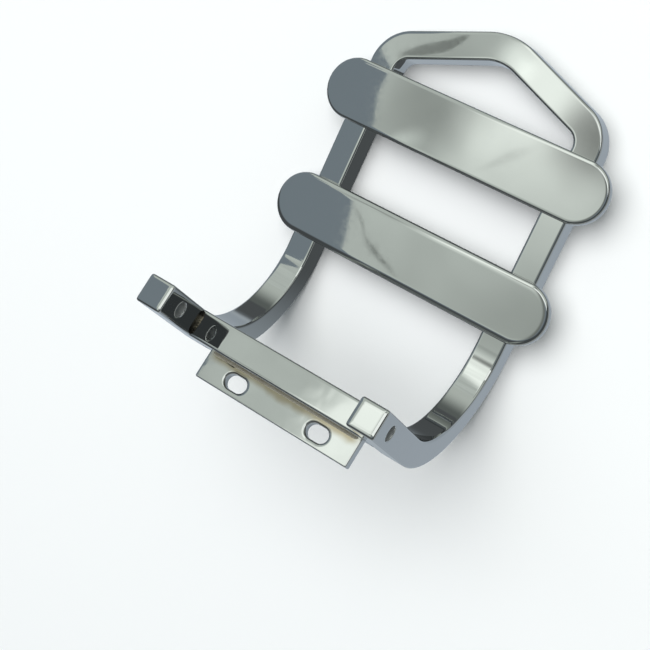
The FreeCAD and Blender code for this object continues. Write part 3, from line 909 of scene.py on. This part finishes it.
# Heights in the studio, as the Z of a line of sight: where the rear grows bright, where the ground
# does and where it turns grey, how much lower the ground's brightness starts at the rear, and how
# far the horizon is blurred
REAR_RISE = (0.08, 0.5)
GROUND_DROP = (-0.08, -0.20)
DEEP_GROUND_DROP = (-0.35, -0.65)
REAR_GROUND_DROP = 0.35
HORIZON_BLUR = 0.02

# Light of each part of the stage: red, green and blue, where 1 is as bright as white, and alpha
CLOTH_LIGHT = (0.78, 0.845, 0.79, 1.0)
LAMP_LIGHT = (1.62, 1.70, 1.60, 1.0)
SHEET_LIGHT = (1.6, 1.65, 1.6, 1.0)
# Painted shadow under the rack, seen only in reflections: dark at the rear, lighter blue-grey towards
# the front
SHADOW_CARD_REAR_LIGHT = (0.11, 0.12, 0.125, 1.0)
SHADOW_CARD_FRONT_LIGHT = (0.38, 0.43, 0.47, 1.0)
FRONT_LIGHT = (0.095, 0.105, 0.11, 1.0)
WINDOW_LIGHT = (0.62, 0.66, 0.64, 1.0)
LEFT_LIGHT = (0.29, 0.345, 0.385, 1.0)
REAR_LOW_LIGHT = (0.17, 0.19, 0.18, 1.0)
REAR_HIGH_LIGHT = (0.74, 0.80, 0.74, 1.0)
HORIZON_LIGHT = (0.12, 0.13, 0.135, 1.0)
GROUND_LIGHT = (0.70, 0.76, 0.80, 1.0)
DEEP_GROUND_LIGHT = (0.47, 0.53, 0.59, 1.0)


class RACK_OT_stage(bpy.types.Operator):
    """Pale floor, soft lights and the camera"""

    bl_idname = "rack.stage"
    bl_label = "Stage"

    def execute(self, context):
        self.floor()
        self.mat()
        self.room()
        self.cloth()
        self.bright_sheet()
        self.lamp()
        self.camera()
        context.scene.view_settings.view_transform = "Standard"
        return {"FINISHED"}

    def card(self, name, outline, height, material, unseen=True):
        """One flat sheet of the stage. An unseen one shows in reflections only."""
        corners = [(x, y, height) for x, y in outline]
        mesh = bpy.data.meshes.new(name)
        mesh.from_pydata(corners, [], [tuple(range(len(corners)))])
        mesh.materials.append(material)
        card = bpy.data.objects.new(name, mesh)
        bpy.context.scene.collection.objects.link(card)
        card.visible_camera = not unseen
        card.visible_shadow = not unseen
        return card

    def shining(self, tree, light, strength=1.0):
        """Makes a material give light and do nothing else."""
        shine = add_node(tree, "ShaderNodeEmission", {"Color": light, "Strength": strength})
        add_node(tree, "ShaderNodeOutputMaterial", {"Surface": shine.outputs["Emission"]})

    def within(self, tree, place, bounds):
        """How far a place or a line of sight is inside some bounds.

        It is the product of a smooth step for each bound, along the bound's direction, from 0
        where the part starts to 1 where it is full.
        """
        steps = []
        for direction, start, full in bounds:
            along = add_node(tree, "ShaderNodeVectorMath", {
                0: place, 1: direction,
            }, operation="DOT_PRODUCT")
            steps.append((along.outputs["Value"], start, full))
        return product_of_steps(tree, steps)

    def floor(self):
        """A matt pale floor, which the plating doesn't mirror: it mirrors the studio's ground."""
        material, tree = new_material("matt pale floor")
        surface = add_node(tree, "ShaderNodeBsdfPrincipled", {
            "Base Color": (*finish().floor, 1.0), "Roughness": 0.9,
        })
        add_node(tree, "ShaderNodeOutputMaterial", {"Surface": surface.outputs["BSDF"]})
        corners = [(x * FLOOR_HALF, y * FLOOR_HALF) for x, y in ((-1, -1), (1, -1), (1, 1), (-1, 1))]
        floor = self.card("floor", corners, 0.0, material, unseen=False)
        floor.visible_glossy = False

    def mat(self):
        """A dark card just under the floor with the rack's shadow painted on it, which darkens what
        the rack's inner sides mirror.
        """
        material, tree = new_material("dark mat")
        place = add_node(tree, "ShaderNodeTexCoord").outputs["Object"]
        # Painted shadow: dark under the rear of the rack, lighter towards its front
        front = self.within(tree, place, (((0.0, 1.0, 0.0), SHADOW_CARD_REAR_Y, SHADOW_CARD_FRONT_Y),))
        colour = add_node(tree, "ShaderNodeMix", {
            "Factor": front, "A": SHADOW_CARD_REAR_LIGHT, "B": SHADOW_CARD_FRONT_LIGHT,
        }, data_type="RGBA")
        self.shining(tree, colour.outputs["Result"])
        # A card of painted shadow, which neither the camera nor the shadows see
        self.card("mat", SHADOW_CARD_OUTLINE, -MM, material)

    def room(self):
        """The studio that the plating mirrors.

        It is dark in front and to the right, with a pale window low on that side, blue-grey on
        the left, and pale grey behind, where it grows brighter upwards. From the horizon down,
        the ground turns from dark to bright, further down at the rear, and then to grey.
        """
        world = bpy.data.worlds.new("studio")
        world.use_nodes = True
        tree = world.node_tree
        tree.nodes.clear()
        way = add_node(tree, "ShaderNodeTexCoord").outputs["Generated"]
        height = add_node(tree, "ShaderNodeSeparateXYZ", {"Vector": way}).outputs["Z"]
        sides = (WINDOW_BOUNDS, LEFT_BOUNDS, REAR_BOUNDS)
        window, left, rear = (self.within(tree, way, bounds) for bounds in sides)
        rear_light = add_node(tree, "ShaderNodeMix", {
            "Factor": product_of_steps(tree, ((height, *REAR_RISE),)),
            "A": REAR_LOW_LIGHT, "B": REAR_HIGH_LIGHT,
        }, data_type="RGBA").outputs["Result"]
        lower = add_node(tree, "ShaderNodeMath", {
            0: rear, 1: REAR_GROUND_DROP, 2: height,
        }, operation="MULTIPLY_ADD").outputs["Value"]
        bright = product_of_steps(tree, ((lower, *GROUND_DROP),))
        grey = product_of_steps(tree, ((height, *DEEP_GROUND_DROP),))
        walls, ground = FRONT_LIGHT, HORIZON_LIGHT
        for share, light in ((window, WINDOW_LIGHT), (left, LEFT_LIGHT), (rear, rear_light)):
            walls = add_node(tree, "ShaderNodeMix", {
                "Factor": share, "A": walls, "B": light,
            }, data_type="RGBA").outputs["Result"]
        for share, light in ((bright, GROUND_LIGHT), (grey, DEEP_GROUND_LIGHT)):
            ground = add_node(tree, "ShaderNodeMix", {
                "Factor": share, "A": ground, "B": light,
            }, data_type="RGBA").outputs["Result"]
        horizon = add_node(tree, "ShaderNodeMapRange", {
            "Value": height, "From Min": -HORIZON_BLUR, "From Max": HORIZON_BLUR,
        })
        around = add_node(tree, "ShaderNodeMix", {
            "Factor": horizon.outputs["Result"], "A": ground, "B": walls,
        }, data_type="RGBA")
        light = add_node(tree, "ShaderNodeBackground", {"Color": around.outputs["Result"]})
        add_node(tree, "ShaderNodeOutputWorld", {"Surface": light.outputs["Background"]})
        bpy.context.scene.world = world

    def cloth(self):
        """A diffusing cloth with a lamp behind part of it.

        Slow folds shift the edges of the lamp's light and cloud the cloth a little. It darkens
        towards its right edge, and each of its shades dims or brightens an oval patch.
        """
        material, tree = new_material("lit diffusing cloth")
        place = add_node(tree, "ShaderNodeTexCoord").outputs["Object"]
        folds = add_node(tree, "ShaderNodeTexNoise", {
            "Vector": place, "Scale": CLOTH_FOLDS, "Detail": 2.0,
        })
        moved = add_node(tree, "ShaderNodeVectorMath", {
            0: folds.outputs["Color"], 1: FOLD_SHIFT, 2: place,
        }, operation="MULTIPLY_ADD").outputs["Vector"]
        x = add_node(tree, "ShaderNodeSeparateXYZ", {"Vector": moved}).outputs["X"]
        parts = [add_node(tree, "ShaderNodeMapRange", {
            "Value": x, "From Min": DIM_EDGE[0], "From Max": DIM_EDGE[1], "To Min": DIM_EDGE_SHADE,
        }, interpolation_type="SMOOTHSTEP")]
        for middle, turn, reach, near, shade in CLOTH_SHADES:
            oval = add_node(tree, "ShaderNodeMapping", {
                "Vector": place, "Location": (*middle, CLOTH_HEIGHT),
                "Rotation": (0.0, 0.0, math.radians(turn)), "Scale": (*reach, 1.0),
            }, vector_type="TEXTURE")
            away = add_node(tree, "ShaderNodeVectorMath", {
                0: oval.outputs["Vector"],
            }, operation="LENGTH")
            parts.append(add_node(tree, "ShaderNodeMapRange", {
                "Value": away.outputs["Value"], "From Min": near, "From Max": 1.0, "To Min": shade,
            }, interpolation_type="SMOOTHSTEP"))
        parts.append(add_node(tree, "ShaderNodeMapRange", {
            "Value": folds.outputs["Fac"], "From Min": 0.3, "From Max": 0.7,
            "To Min": 0.88, "To Max": 1.08,
        }))
        strength = 1.0
        for part in parts:
            strength = add_node(tree, "ShaderNodeMath", {
                0: strength, 1: part.outputs["Result"],
            }, operation="MULTIPLY").outputs["Value"]
        colour = add_node(tree, "ShaderNodeMix", {
            "Factor": self.within(tree, moved, LAMP_BOUNDS), "A": CLOTH_LIGHT, "B": LAMP_LIGHT,
        }, data_type="RGBA")
        self.shining(tree, colour.outputs["Result"], strength)
        self.card("diffuser", CLOTH_OUTLINE, CLOTH_HEIGHT, material)

    def bright_sheet(self):
        """A bright sheet over the right side, for the sparkle at the mouths of holes."""
        material, tree = new_material("bright sheet")
        self.shining(tree, SHEET_LIGHT)
        self.card("bright_sheet", SHEET_OUTLINE, CLOTH_HEIGHT - SHEET_DROP, material)

    def lamp(self):
        """A wide soft lamp for the floor, which the plating doesn't mirror."""
        data = bpy.data.lights.new("overhead", "AREA")
        data.energy = LAMP_POWER
        data.size = LAMP_SIDE
        lamp = bpy.data.objects.new("overhead", data)
        facing = LAMP_PLACE.to_track_quat("Z", "Y").to_matrix().to_4x4()
        lamp.matrix_world = Matrix.Translation(LAMP_PLACE) @ facing
        lamp.visible_camera = False
        lamp.visible_glossy = False
        bpy.context.scene.collection.objects.link(lamp)

    def camera(self):
        """The camera: tipped down from level, turned, and rolled about its own line of sight."""
        data = bpy.data.cameras.new("camera")
        data.lens = CAMERA_LENS
        data.sensor_width = CAMERA_SENSOR
        camera = bpy.data.objects.new("camera", data)
        turn = Matrix.Rotation(CAMERA_AZIMUTH, 4, "Z")
        tip = Matrix.Rotation(math.pi / 2 - CAMERA_ELEVATION, 4, "X")
        roll = Matrix.Rotation(CAMERA_ROLL, 4, "Z")
        camera.matrix_world = Matrix.Translation(CAMERA_PLACE) @ turn @ tip @ roll
        bpy.context.scene.collection.objects.link(camera)
        bpy.context.scene.camera = camera


class RACK_PT_panel(bpy.types.Panel):
    """Lists the rack's pieces and its stage"""

    bl_idname = "RACK_PT_panel"
    bl_label = "Luggage Rack"
    bl_space_type = "VIEW_3D"
    bl_region_type = "UI"
    bl_category = "Rack"

    def draw(self, context):
        for group in (context.scene.rack_sizes, context.scene.rack_finish):
            for name in group.__annotations__:
                self.layout.prop(group, name)
        for operator in PIECES:
            self.layout.operator(operator.bl_idname)


PIECES = (
    RACK_OT_frame_bar, RACK_OT_slats, RACK_OT_bolt_plate, RACK_OT_cross_bar, RACK_OT_welds,
    RACK_OT_stage,
)
CLASSES = (RackSizes, RackFinish, *PIECES, RACK_PT_panel)


def register():
    """Makes the sizes, colours, operators and panel known to Blender."""
    for item in CLASSES:
        bpy.utils.register_class(item)
    bpy.types.Scene.rack_sizes = PointerProperty(type=RackSizes)
    bpy.types.Scene.rack_finish = PointerProperty(type=RackFinish)


def unregister():
    """Takes away what register adds."""
    del bpy.types.Scene.rack_finish
    del bpy.types.Scene.rack_sizes
    for item in reversed(CLASSES):
        bpy.utils.unregister_class(item)


def main():
    """Builds the rack and its stage."""
    register()
    bpy.ops.rack.frame_bar()
    bpy.ops.rack.slats()
    bpy.ops.rack.bolt_plate()
    bpy.ops.rack.cross_bar()
    bpy.ops.rack.welds()
    bpy.ops.rack.stage()


if __name__ == "__main__":
    main()
